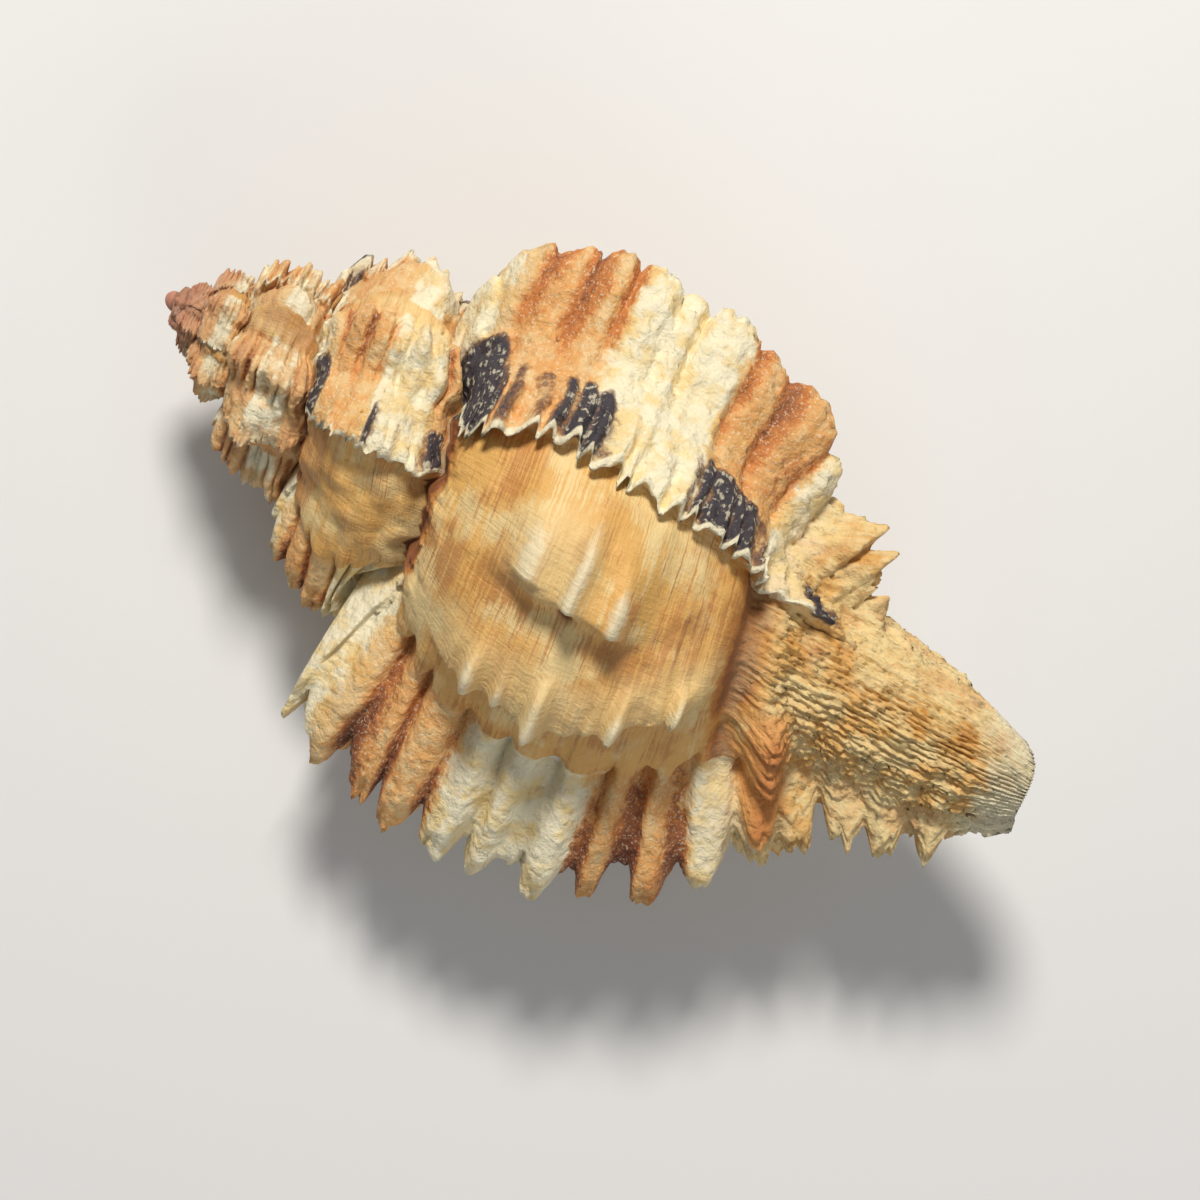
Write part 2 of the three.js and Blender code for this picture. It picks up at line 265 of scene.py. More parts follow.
def trough(x, side):
    """The trough of the canal: along it by x, across it from the lip (-1) to the far side (1)."""
    r = np.interp(x, OUTLINE_DOWN, OUTLINE_RADIUS)
    lip_side = math.radians(CREST_AZIMUTH + LIP)
    slit_side = np.radians(mix(236, 104, smooth(52, 80, x)))
    a = np.stack([math.sin(lip_side) * (r - CANAL_WALL), math.cos(lip_side) * (r - CANAL_WALL)])
    b = np.stack([np.sin(slit_side) * 2.2, np.cos(slit_side) * 2.2])
    depth = (1 + 0.6 * r) * (1 - side**2)
    chord = np.hypot(*(b - a))
    t = (side + 1) / 2
    bend = 3.2 * np.maximum(0, (x - 55) / 30) ** 2
    y = mix(a[0], b[0], t) - depth * (b[1] - a[1]) / chord
    z = mix(a[1], b[1], t) + depth * (b[0] - a[0]) / chord + bend
    return np.stack([x, y, z], -1)


lip_ids = np.concatenate([spire_ids[0], body_ids[0]])
edge_ids = body_ids[1:, -1]
pillar_ids = body_ids[COLUMNS, -2:0:-1]
rim = np.concatenate([lip_ids, edge_ids, pillar_ids])
side_share = mix(WALL_SHARE, HEAD_SHARE, 0.35)
lip_reach = np.concatenate([COVERED_LIP * across[spire_ids[0]],
                            mix(COVERED_LIP, REACH, across[body_ids[0]])])
beyond = np.clip((lip_reach - THROAT_HEAD) / (REACH - THROAT_HEAD), 0, 1)
edge_turns = LIP + COLUMN * np.arange(1, COLUMNS + 1)
climb = 1 - np.arange(BODY_ROWS - 1, 0, -1) / BODY_ROWS
lip_share = np.where(beyond > 0, mix(WALL_SHARE, side_share, beyond), WALL_SHARE * lip_reach / THROAT_HEAD)
share = np.concatenate([lip_share, mix(side_share, HEAD_SHARE, np.arange(1, COLUMNS + 1) / COLUMNS),
                        mix(HEAD_SHARE, 1, climb)])
side = np.concatenate([np.full(len(lip_ids), -1.0),
                       np.clip(2 * (edge_turns - LIP) / (CANAL_FULL_UNTIL + 10 - LIP) - 1, -1, 1),
                       np.ones(len(pillar_ids))])
canal = np.concatenate([smooth(THROAT_HEAD - 6, THROAT_HEAD + 8, lip_reach),
                        np.ones(len(edge_ids)), 1 - smooth(0.02, 0.3, climb)])
extended = 10 * smooth(0, 178, edge_turns) * (1 - smooth(190, 246, edge_turns))
rim_x = plain_place(rim)[:, 0]
rim_x[len(lip_ids) : len(lip_ids) + COLUMNS] += extended

rings = []
for number, behind in enumerate(THROAT_TURNS):
    deep = place(*section(behind, share), LIP + behind)
    if number < len(TROUGH):
        along, inward = TROUGH[number]
        shallow = trough(mix(TROUGH_HEAD, rim_x, along), side * inward)
        deep = deep + (shallow - deep) * canal[:, None]
    rings.append(deep)
deepest = place(np.array(38.0), np.array(12.0), LIP + THROAT_TURNS[-1] + 10)
close_over(rim, rings, deepest, 1)

inner = np.concatenate(inner_places)
print("and", len(inner), "points close it")

# %% [markdown]
# The net becomes a mesh. Between two varices a point is in front of the older one's crest and
# behind the younger one's, so it carries both distances and both varices' sizes as attributes.

# %%
crests = np.array(sorted(VARICES))
older = np.searchsorted(crests[:, 0], turn, side="left")
has_older = older < len(crests)
older = np.minimum(older, len(crests) - 1)
younger = np.searchsorted(crests[:, 0], turn, side="left") - 1
has_younger = younger >= 0
younger = np.maximum(younger, 0)
fields = {
    "turn": turn,
    "across": across,
    "on_body": on_body,
    "ahead": np.where(has_older, crests[older, 0] - turn, 99),
    "older_size": np.where(has_older, crests[older, 1], 0),
    "older_shoulder": crests[older, 2],
    "older_base": crests[older, 3],
    "apron_end": crests[older, 4],
    "behind": np.where(has_younger, turn - crests[younger, 0], 99),
    "younger_size": np.where(has_younger, crests[younger, 1], 0),
    "younger_shoulder": crests[younger, 2],
    "younger_base": crests[younger, 3],
    "older_turn": crests[older, 0],
    "younger_turn": crests[younger, 0],
}


def climbing(at):
    """How far the suture climbs the older whorl: most at a varix, nothing between two."""
    rise = np.zeros(len(at))
    for crest, size, *_ in VARICES[:1] + VARICES[2:]:
        width = np.where(at > crest, 15, 26)
        size = 1.5 * size if crest == 0 else size
        rise = np.maximum(rise, size * np.exp(-(((at - crest) / width) ** 2)))
    return rise + 0.16 * np.sin(at * 0.21) + 0.12 * np.sin(at * 0.37 + 1)


fields["climb"] = climbing(turn)
fields["next_climb"] = climbing(turn - WHORL)
quads_all = np.concatenate(faces)
flat = [list(dict.fromkeys(face)) for face in quads_all.tolist()]
points = np.concatenate([np.zeros((count, 3)), inner])
used = np.zeros(len(points), bool)
used[quads_all.ravel()] = True
renumber = np.cumsum(used) - 1
net = bpy.data.meshes.new("growth_net")
net.from_pydata(points[used].tolist(), [], [[int(renumber[i]) for i in face] for face in flat])
fields["grown"] = np.ones(count)
fields["hollow"] = np.zeros(count)
for name, values in fields.items():
    rest = np.concatenate(inner_hollow) if name == "hollow" else np.zeros(len(inner))
    whole = np.concatenate([values, rest])[used]
    net.attributes.new(name, "FLOAT", "POINT").data.foreach_set("value", whole.astype(np.float32))
shell = bpy.data.objects.new("shell_looks", net)
scene.collection.objects.link(shell)
print("net:", len(net.vertices), "points,", len(net.polygons), "faces")

# %% [markdown]
# ## Writing node maths as maths
#
# A node tree is a formula drawn as boxes. `Wire` wraps one socket and lets `+ - * /` add the boxes,
# so that both the growth and the material can be written as plain expressions.

# %%
class Wire:
    def __init__(self, tree, socket):
        self.tree = tree
        self.socket = socket

    def node(self, kind, inputs=(), output=0, **settings):
        node = self.tree.nodes.new(kind)
        for name, value in settings.items():
            setattr(node, name, value)
        for name, value in dict(inputs).items():
            if isinstance(value, Wire):
                self.tree.links.new(value.socket, node.inputs[name])
            else:
                node.inputs[name].default_value = value
        return Wire(self.tree, node.outputs[output])

    def math(self, operation, first, second=None):
        inputs = {0: first} if second is None else {0: first, 1: second}
        return self.node("ShaderNodeMath", inputs, operation=operation)

    def __add__(self, other):
        return self.math("ADD", self, other)

    def __radd__(self, other):
        return self.math("ADD", other, self)

    def __sub__(self, other):
        return self.math("SUBTRACT", self, other)

    def __rsub__(self, other):
        return self.math("SUBTRACT", other, self)

    def __mul__(self, other):
        return self.math("MULTIPLY", self, other)

    def __rmul__(self, other):
        return self.math("MULTIPLY", other, self)

    def __truediv__(self, other):
        return self.math("DIVIDE", self, other)

    def __pow__(self, other):
        return self.math("POWER", self, other)

    def __neg__(self):
        return self * -1

    def exp(self):
        return self.math("EXPONENT", self)

    def at_most(self, other):
        return self.math("MINIMUM", self, other)

    def at_least(self, other):
        return self.math("MAXIMUM", self, other)

    def sin(self):
        return self.math("SINE", self)

    def cos(self):
        return self.math("COSINE", self)

    def fraction(self):
        return self.math("FRACT", self)

    def above(self, other):
        return self.math("GREATER_THAN", self, other)

    def smooth(self, low, high):
        """0 below low, 1 above high. It falls instead where low is the larger."""
        inputs = {"Value": self, "From Min": low, "From Max": high}
        return self.node("ShaderNodeMapRange", inputs, interpolation_type="SMOOTHSTEP")

    def bell(self, middle, half):
        scaled = (self - middle) / half
        return (-(scaled * scaled)).exp()

    def mixed(self, other, share):
        return self + (other - self) * share

    def curve(self, values, high):
        """A smooth curve through equally spaced values, from 0 to high."""
        least, most = min(values), max(values)
        node = self.tree.nodes.new("ShaderNodeFloatCurve")
        mapping = node.mapping
        last = len(values) - 1
        for i, value in enumerate(values):
            spot = (i / last, (value - least) / (most - least))
            if i == 0:
                mapping.curves[0].points[0].location = spot
            elif i == last:
                mapping.curves[0].points[-1].location = spot
            else:
                mapping.curves[0].points.new(*spot)
        mapping.update()
        self.tree.links.new((self / high).socket, node.inputs["Value"])
        return Wire(self.tree, node.outputs[0]) * (most - least) + least


def noise(x, y, z, scale, detail=2.0, rough=0.5, spread=0.0):
    """Smooth noise about 0.5, at a place made of three wires or numbers."""
    wire = next(w for w in (x, y, z) if isinstance(w, Wire))
    spot = wire.node("ShaderNodeCombineXYZ", {0: x, 1: y, 2: z})
    inputs = {"Vector": spot, "Scale": scale, "Detail": detail, "Roughness": rough,
              "Distortion": spread}
    return wire.node("ShaderNodeTexNoise", inputs)


def wobble(first, second, seed, detail=1.0, rough=0.5):
    """Noise about 0 over two measures. Each seed gives a pattern of its own."""
    return noise(first, second, seed, 1.0, detail, rough) - 0.5


# %% [markdown]
# ## The growth tree
#
# The modifier's inputs are the sizes a shell grower would name. Inside, each point's `turn` and
# `across` give its plain place on the whorl. The relief is then added: varices with their spines,
# cords, lamellae, the frilled edge of each old lip, and the humps between them.

# %%
tree = bpy.data.node_groups.new("grow_shell", "GeometryNodeTree")
tree.interface.new_socket("Net", in_out="INPUT", socket_type="NodeSocketGeometry")
tree.interface.new_socket("Shell", in_out="OUTPUT", socket_type="NodeSocketGeometry")
SETTINGS = {
    "Crest Height": 1.0,
    "Cord Spacing": CORD,
    "Suture Climb": 2.2,
    "Rib Height": 1.25,
    "Frill Length": 3.4,
    "Lamella Height": 0.65,
    "Roughness": 0.3,
}
for name, value in SETTINGS.items():
    socket = tree.interface.new_socket(name, in_out="INPUT", socket_type="NodeSocketFloat")
    socket.default_value = value
group_in = tree.nodes.new("NodeGroupInput")
given = {name: Wire(tree, group_in.outputs[name]) for name in SETTINGS}
start = given["Crest Height"]


def read(name):
    return start.node("GeometryNodeInputNamedAttribute", {"Name": name}, data_type="FLOAT")


at_turn = read("turn")
share_across = read("across")
body = read("on_body")
ahead = read("ahead")
behind = read("behind")

covered = COVERED_EARLY - (COVERED_EARLY - COVERED_LIP) * (
    (at_turn - (LIP + WHORL)).at_least(0) * (-1 / COVERED_TURN)).exp()
reach = (covered * share_across).mixed(covered + (REACH - covered) * share_across, body)
axial_size = (0.16 - at_turn * 0.001855 - 0.16 * (at_turn * -0.01).exp()).exp()
radial_size = (at_turn * -0.0013 - 0.08 * (1 - (at_turn * -0.005).exp())).exp()
plain_down = reach.curve(OUTLINE_DOWN, REACH)
plain_radius = reach.curve(OUTLINE_RADIUS, REACH)

# The older whorls end where the next one covers them, exactly on its suture.
spire_end = (1 - body) * at_turn.above(LIP + WHORL - COLUMN / 2)
weld = share_across.smooth(0.45, 1) * spire_end
next_turn = at_turn - WHORL
next_axial = (0.16 - next_turn * 0.001855 - 0.16 * (next_turn * -0.01).exp()).exp()
next_radial = (next_turn * -0.0013 - 0.08 * (1 - (next_turn * -0.005).exp())).exp()
covered_down = covered.curve(OUTLINE_DOWN, REACH)
covered_radius = covered.curve(OUTLINE_RADIUS, REACH)
x = plain_down * axial_size + weld * (OUTLINE_DOWN[0] * next_axial - covered_down * axial_size)
r = plain_radius * radial_size + weld * (
    OUTLINE_RADIUS[0] * next_radial - covered_radius * radial_size)
to_tip = ((reach - covered) / (REACH - covered)).at_least(0) * body
x = x + 10 * at_turn.smooth(0, 178) * at_turn.smooth(246, 190) * to_tip * to_tip

# The suture climbs towards the apex at each varix, and both whorls beside it follow.
climb = given["Suture Climb"]
x = x - climb * axial_size * read("climb") * reach.smooth(9, 0)
x = x - climb * next_axial * read("next_climb") * share_across.smooth(0.55, 1) * (1 - body)

# Relief dies away at every suture and behind the pillar.
fade = reach.smooth(0, 2.2) * (1 - spire_end * share_across.smooth(0.86, 1))
fade = fade * (1 - body * at_turn.smooth(LIP + WHORL - 60, LIP + WHORL))

# %% [markdown]
# ### Varices, spines and cords
#
# `cord` is 1 along each main cord and `thin_cord` along the ones between. `lobe` is a broad, blunt
# version of `cord`. On a crest the cords run out into blunt fingers; between crests they are low
# ribs. `chance` gives each rib of each varix its own height.

# %%
wander = wobble(at_turn * 0.03, reach * 0.22, 0.0)
jitter = wobble(reach * 0.3, at_turn * 0.012, 17.0)
sway = wobble(at_turn * 0.11, reach * 0.24, 19.0)
wavy = reach + wander * 1.5 + jitter * 4.2 + sway * 1.6
spacing = given["Cord Spacing"]
phase = (wavy - 1.1) / spacing
cord = 0.5 + 0.5 * (phase * (2 * math.pi)).cos()
thin_cord = 0.5 + 0.5 * ((phase + 0.5) * (2 * math.pi)).cos()
all_cords = 0.5 + 0.5 * (phase * (4 * math.pi)).cos()
lobe = 1 - (1 - cord) ** 3.2
tips = wobble(reach * 0.8, at_turn * 0.03, 13.0, 1.0, 0.6)

rib_number = (phase + 0.5) - (phase + 0.5).fraction()
chance = noise(rib_number * 3.7, read("older_turn") * 0.37, 3.0, 1.0, 0.0)
chance_back = noise(rib_number * 3.7, read("younger_turn") * 0.37, 3.0, 1.0, 0.0)
height = reach.curve(CREST_HEIGHT, REACH) * given["Crest Height"]


def varix_size(which):
    shoulder = read(which + "_shoulder").mixed(1, reach.smooth(0, 10))
    base = 1 + (read(which + "_base") - 1) * reach.smooth(24, 34)
    gone = read(which + "_turn").above(100) * reach.smooth(44, 50)
    return read(which + "_size") * shoulder * base * (1 - gone)


older_size = varix_size("older")
younger_size = varix_size("younger")
past_margin = ahead - read("apron_end")
apron = past_margin.smooth(2.0, 0.3)
APRON_SHARE, FRONT_WIDTH, CREST_WIDTH, RAGGED = 0.17, 12, 10, 0.48
front_shape = (APRON_SHARE + (1 - APRON_SHARE) * ahead.bell(0, FRONT_WIDTH)) * apron
back_shape = behind.smooth(19, -2)
broad = wobble(reach * 0.12, at_turn * 0.01, 23.0)
gap = (0.11 - 0.06 * at_turn.bell(150, 40)) * (1 - lobe) + broad * 0.4
front_spines = 1 - (gap + RAGGED * (chance - 0.45)) * ahead.bell(0, CREST_WIDTH)
back_spines = 1 - (gap + RAGGED * (chance_back - 0.45)) * behind.bell(0, CREST_WIDTH)
front = older_size * front_shape * front_spines
back = younger_size * back_shape * back_spines
varix = front.at_least(back)
relief = varix * height

# Ribs: deep between the cords near a crest, low elsewhere, and arched again at the margin.
near_crest = (ahead.bell(0, 22) * older_size).at_least(behind.bell(0, 15) * younger_size).at_most(1)
near_margin = past_margin.smooth(-16, -3) * apron * older_size.at_most(1)
bold = 1 - 0.6 * at_turn.bell(135, 40)
patched = 0.5 + noise(at_turn * 0.07, reach * 0.2, 27.0, 1.0, 1.0)
rib = (lobe - 0.6 + (thin_cord**4) * 0.6) * near_crest * bold * patched
rib = rib + (all_cords - 0.4) * near_margin + (cord - 0.5) * 0.15
pit = (1 - cord) ** 3
pit = pit * (behind.bell(13, 9) * younger_size).at_least(ahead.bell(11, 10) * older_size)
rib = rib - 2.0 * pit * (0.2 + 1.6 * chance_back) * reach.smooth(46, 40) * bold
on_crest = (ahead.bell(0, 8) * older_size).at_least(behind.bell(0, 8) * younger_size).at_most(1)
relief = relief + tips * 2.6 * on_crest * reach.smooth(REACH, REACH - 6)
relief = relief + rib * given["Rib Height"] * reach.smooth(0, 3) * reach.smooth(REACH, REACH - 14)
relief = relief + 0.5 * near_margin * past_margin.smooth(-7, 0)

# %% [markdown]
# ### Humps, the knob and the step
#
# Between the last two varices the back carries a knob with three ribs, and a step where growth
# paused for a while without making a varix. White fingers stick out at the edge of the step.

# %%
SPIRE_SWELL = 1.25
for hump_turn, half_turn, hump_reach, half_reach, rise in HUMPS:
    hump = at_turn.bell(hump_turn, half_turn) * reach.bell(hump_reach, half_reach)
    relief = relief + SPIRE_SWELL * rise * hump

# Reach, half width, height, and the turns where each rib begins and ends.
KNOB_RIBS = [(15.8, 1.6, 1.6, 94, 72), (20.3, 0.9, 1.9, 104, 70.5), (24.3, 1.0, 1.5, 90, 69)]
# Reach, half width, height, and length in turn of each finger.
STEP_FINGERS = [(14.6, 0.8, 1.8, 19), (17.6, 0.55, 1.0, 12), (21.0, 0.8, 2.1, 18),
                (27.4, 0.75, 2.0, 13), (32.2, 0.7, 1.9, 9)]
KNOB_RISE, KNOB_PIT_DEPTH, STEP_RISE, VALLEY_DEPTH = 2.8, 1.6, 1.3, 1.9

knob_along = at_turn.smooth(108, 82) * at_turn.smooth(63.5, 71)
relief = relief + KNOB_RISE * knob_along * reach.smooth(11, 17.5) * reach.smooth(29, 23)
fingers = 0
for rib_reach, wide, tall, first, last in KNOB_RIBS:
    finger = reach.bell(rib_reach, wide) * at_turn.smooth(first, last + 5)
    finger = finger * (at_turn - last).smooth(-1.6, 0.4)
    fingers = finger + fingers
    relief = relief + tall * finger
knob_pit = reach.bell(20.3, 0.9) * at_turn.bell(67.5, 1.8)
relief = relief - KNOB_PIT_DEPTH * knob_pit

step_turn = 38 + 10 * reach.smooth(23, 30) + 14 * reach.smooth(29, 37) + 7 * sway
past_step = at_turn - step_turn
step_along = past_step.smooth(26, 3) * past_step.smooth(-1.4, 0.3)
step_wide = reach.smooth(9, 14) * reach.smooth(37, 32)
relief = relief + (STEP_RISE + 0.5 * (all_cords - 0.5)) * step_along * step_wide
for finger_reach, wide, tall, long in STEP_FINGERS:
    finger = reach.bell(finger_reach, wide) * past_step.smooth(long, 3) * past_step.smooth(-2.6, -0.9)
    fingers = finger + fingers
    relief = relief + tall * finger
valley_along = at_turn.smooth(16, 34) * at_turn.smooth(130, 105)
relief = relief - VALLEY_DEPTH * reach.bell(38.4, 2.0) * valley_along

# The canal's edge is frilled, a broad rib crosses its head, and leaf spines stand above it.
canal_teeth = ((lobe - 0.5) * 2.4 + (all_cords - 0.5) * 0.9 + tips * 3) * reach.smooth(43, 48)
relief = relief + canal_teeth * at_turn.bell(-4, 12) * reach.smooth(63, 59)
swell = wobble(at_turn * 0.06, reach * 0.14, 11.0)
relief = relief + swell * (3.2 * near_crest.at_least(near_margin) + 5.0 * at_turn.smooth(320, 420))

orange_rib = reach.bell(42.5, 1.9) * at_turn.smooth(62, 36) * at_turn.smooth(3, 13)
rib_lumps = noise(at_turn * 0.16, 3.0, 1.5, 1.0, 2.0) - 0.3
relief = relief + 3.6 * orange_rib * (0.75 + 1.2 * rib_lumps)
leaves = reach.smooth(41, 44) * reach.smooth(52, 48) * at_turn.bell(140, 7)
relief = relief + leaves * (2.0 + 2.6 * lobe + 4 * tips)

# Lamellae lie like shingles on the varices and the canal, the suture is ruffled, and lumps and
# fine roughness cover everything old.
LAMELLA_SPACING = 4.6
drift = wobble(at_turn * 0.05, reach * 0.3, 1.0, 2.0)
shingle = ((at_turn + drift * 9) / LAMELLA_SPACING).fraction()
rough_place = wobble(at_turn * 0.22, reach * 0.7, 5.0, 3.0, 0.6)
fine_rough = wobble(at_turn * 0.7, reach * 2.2, 9.0, 2.0, 0.6)
on_canal = reach.smooth(36, 44)
aged = near_crest.at_least(near_margin).at_least(on_canal * 0.9)
relief = relief + (shingle - 0.5) * given["Lamella Height"] * aged
scales = wobble(at_turn * 0.35, reach * 1.5, 7.0, 3.0, 0.7)
relief = relief + scales * (1.5 * on_canal + 0.9 * near_crest) * reach.smooth(REACH, REACH - 6)
ruffle = wobble(at_turn * 0.3, reach * 0.5, 31.0, 2.0)
relief = relief + ruffle * 3.4 * reach.bell(3, 2.6)
lumps = wobble(at_turn * 0.09, reach * 0.35, 29.0, 2.0, 0.55)
relief = relief + lumps * 2.0 * (0.35 + aged) * reach.smooth(REACH, REACH - 6)
relief = relief + given["Roughness"] * (rough_place * 1.4 + fine_rough * (0.2 + 0.9 * aged))

# %% [markdown]
# ### The frilled edge
#
# Each old lip ends in a row of teeth that hang over the younger shell. The points of that edge are
# pushed forward in turn, less so just under it, which folds the surface into an overhang.

# %%
FORWARD = 2.5
FORWARD_AT_SUTURE = 8
teeth = (1 - all_cords).smooth(0, 1)
uneven = wobble(reach * 0.42, read("older_turn") * 0.17, 21.0)
frill = given["Frill Length"] * (0.15 + teeth * (0.9 + 1.8 * uneven) + 1.0 * tips + 0.35 * lobe)
above_edge = (-(past_margin * past_margin) / 40).exp()
under_edge = 1 - 0.8 * past_margin.smooth(0, 2.2) - 0.2 * past_margin.smooth(2.2, 13)
pushed = above_edge.mixed(under_edge, past_margin.above(0))
near_edge = past_margin.smooth(-30, -15) * past_margin.smooth(20, 13) * read("older_size").at_most(1)
waver = wobble(reach * 0.13, read("older_turn") * 0.29, 6.0)
forward = (frill + 7 * waver + FORWARD + FORWARD_AT_SUTURE * reach.smooth(14, 3)) * pushed * near_edge
forward = forward * reach.smooth(0.8, 4) * reach.smooth(46, 34)
forward = forward * (1 - spire_end * share_across.smooth(0.8, 1))

rise = relief * radial_size * fade
lean = reach.curve(CREST_LEAN, REACH)
x = x + rise * lean
r = r + rise
azimuth = (at_turn + CREST_AZIMUTH - forward * fade) * (math.pi / 180)
bend = ((x - 55) / 30).at_least(0)
bend = 3.2 * bend * bend
spot = start.node("ShaderNodeCombineXYZ", {
    0: x * MILLIMETRE, 1: r * azimuth.sin() * MILLIMETRE,
    2: (r * azimuth.cos() + bend) * MILLIMETRE})

# %% [markdown]
# ### What the material needs to know
#
# The tree also stores how much of each colour a place should have. The bands run along the
# outline, and each varix is darkest just behind its own edge.

# %%
ORANGE = [0.0, 0.3, 0.9, 0.9, 0.45, 0.0, 0.0, 0.7, 0.95, 0.75, 0.1, 0.7, 0.4, 0.2, 0.2, 0.1, 0.0]
DARK = [0.8, 0.7, 0.5, 0.45, 1.0, 0.0, 0.0, 0.85, 0.95, 0.4, 0.0, 0.7, 0.0, 0.0, 0.0, 0.0, 0.0]

blur = reach + wobble(at_turn * 0.05, reach * 0.25, 2.0, 2.0) * 3.4
orange = blur.at_least(0).at_most(REACH).curve(ORANGE, REACH)
dark_band = blur.at_least(0).at_most(REACH).curve(DARK, REACH)
on_front = ahead.smooth(45, 42.6) * read("older_size").smooth(0.0, 0.3)
on_back = behind.smooth(25, 17) * read("younger_size").smooth(0.0, 0.3)
on_varix = on_front.at_least(on_back)
margin_dark = past_margin.smooth(-19, -11) * past_margin.smooth(2, -0.5)
suture_dark = reach.smooth(8, 5) * past_margin.smooth(-30, -18) * past_margin.smooth(8, 3)
dark = (dark_band * margin_dark * (0.55 + 0.6 * all_cords)).at_least(suture_dark)
patchy = noise(read("older_turn") * 0.21, reach * 0.12, 8.0, 1.0, 0.0).smooth(0.42, 0.58)
patchy = (patchy * at_turn.smooth(900, 500)).at_least(at_turn.smooth(170, 150))
dark = dark * read("older_size").smooth(0.0, 0.3) * at_turn.smooth(36, 60) * patchy
edge_white = past_margin.smooth(-2.6, -0.8) * past_margin.smooth(1.0, 0.2) * at_turn.smooth(36, 60)
edge_white = edge_white * reach.smooth(45, 41)
# Grooves between the cords near a crest; the material gives them red-brown and painted shade.
pits = (1 - cord) * near_crest * reach.smooth(0, 4)

stored = {
    "reach": reach, "orange": orange, "dark": dark, "on_varix": on_varix,
    "edge_white": edge_white, "pits": pits, "on_canal": on_canal,
    "step": step_along * reach.smooth(6, 11) * reach.smooth(40, 34),
    "knob": knob_along * reach.bell(17.6, 6.6), "fingers": fingers, "knob_pit": knob_pit,
    "orange_rib": orange_rib,
    # The dips beside the dome, along the suture and under the orange rib: the shell's own brown, darkened
    # further as painted shade.
    "crease_brown_and_shade": reach.bell(38.5, 2.6) * at_turn.smooth(30, 55) * at_turn.smooth(125, 105)
    + reach.smooth(5.5, 1) * at_turn.smooth(10, 25) + reach.smooth(1.8, 0.4)
    + reach.bell(38.8, 1.6) * at_turn.smooth(40, 25) * at_turn.smooth(-5, 5),
}
geometry = Wire(tree, group_in.outputs["Net"])
geometry = start.node("GeometryNodeSetPosition", {
    "Geometry": geometry, "Selection": read("grown").above(0.5), "Position": spot})
for name, value in stored.items():
    geometry = start.node("GeometryNodeStoreNamedAttribute", {
        "Geometry": geometry, "Name": name, "Value": value}, data_type="FLOAT", domain="POINT")
print("the growth tree has", len(tree.nodes), "nodes")

# %% [markdown]
# ## The material
#
# It reads the stored amounts and breaks their edges up with noise in the shell's own space.

# %%
material = bpy.data.materials.new("shell")
material.use_nodes = True
nodes = material.node_tree.nodes
nodes.clear()
output = nodes.new("ShaderNodeOutputMaterial")
surface = nodes.new("ShaderNodeBsdfPrincipled")
material.node_tree.links.new(surface.outputs[0], output.inputs["Surface"])
base = Wire(material.node_tree, nodes.new("ShaderNodeTexCoord").outputs["Object"])


def attribute(name):
    return base.node("ShaderNodeAttribute", output="Fac", attribute_name=name)


def blotches(scale, detail=4.0, rough=0.55, spread=0.0):
    return base.node("ShaderNodeTexNoise", {"Vector": base, "Scale": scale, "Detail": detail,
                                            "Roughness": rough, "Distortion": spread})


def paint(under, over, share):
    """Lays one colour over another."""
    ready = [c if isinstance(c, Wire) else (*c, 1.0) for c in (under, over)]
    return base.node("ShaderNodeMix", {"Factor": share.at_least(0).at_most(1), 6: ready[0],
                                       7: ready[1]}, output=2, data_type="RGBA")


GOLD = (0.69, 0.385, 0.105)
HONEY = (0.50, 0.205, 0.045)
CREAM = (0.77, 0.585, 0.275)
CHALK = (0.80, 0.72, 0.50)
ORANGE_TAN = (0.68, 0.33, 0.10)
RUST = (0.52, 0.17, 0.036)
BROWN = (0.13, 0.034, 0.016)
BLACK = (0.045, 0.036, 0.042)
UMBER = (0.24, 0.080, 0.030)
TAN = (0.60, 0.34, 0.16)
PINK = (0.52, 0.23, 0.15)
GLAZE_WHITE = (0.83, 0.80, 0.74)

place_x = base.node("ShaderNodeSeparateXYZ", {0: base}, output=0)
at_reach = attribute("reach")
big = blotches(140)
middle_sized = blotches(420)
small = blotches(1500)
grain = blotches(4200, 2.0)
turn_wire = attribute("turn")
threads = noise(at_reach * 3.2, turn_wire * 0.02, 0.0, 1.0, 3.0, 0.6)
growth_lines = noise(at_reach * 0.12, turn_wire * 0.9, 4.0, 1.0, 3.0, 0.6)

# Between the varices: gold, streaked along the threads, with cream and brown clouds.
colour = paint(GOLD, CREAM, (big + 0.7 * (threads - 0.5)).smooth(0.44, 0.58) * 0.9)
colour = paint(colour, HONEY, (blotches(170) + 0.9 * (threads - 0.5)).smooth(0.47, 0.64) * 0.85)
colour = paint(colour, UMBER, (blotches(260, 4.0) + 0.3 * (threads - 0.5)).smooth(0.62, 0.82) * 0.45)
colour = paint(colour, CREAM, attribute("step").smooth(0.2, 0.9) * 0.55)
colour = paint(colour, CREAM, attribute("knob").smooth(0.5, 0.95) * 0.5)
finger_tops = attribute("fingers") + 0.6 * (small - 0.5) + 0.6 * (middle_sized - 0.5)
colour = paint(colour, CHALK, finger_tops.smooth(0.4, 1.0) * 0.7)
colour = paint(colour, UMBER, attribute("knob_pit").smooth(0.3, 0.7) * 0.85)
# Painted shade: the creases along the suture, beside the dome and under the orange rib go honey and umber,
# deeper than the shell's own brown there.
crease_brown_and_shade = attribute("crease_brown_and_shade") + 0.8 * (middle_sized - 0.5) + 0.5 * (small - 0.5)
colour = paint(colour, HONEY, crease_brown_and_shade.smooth(0.1, 0.45))
colour = paint(colour, UMBER, crease_brown_and_shade.smooth(0.4, 0.75) * 0.9)
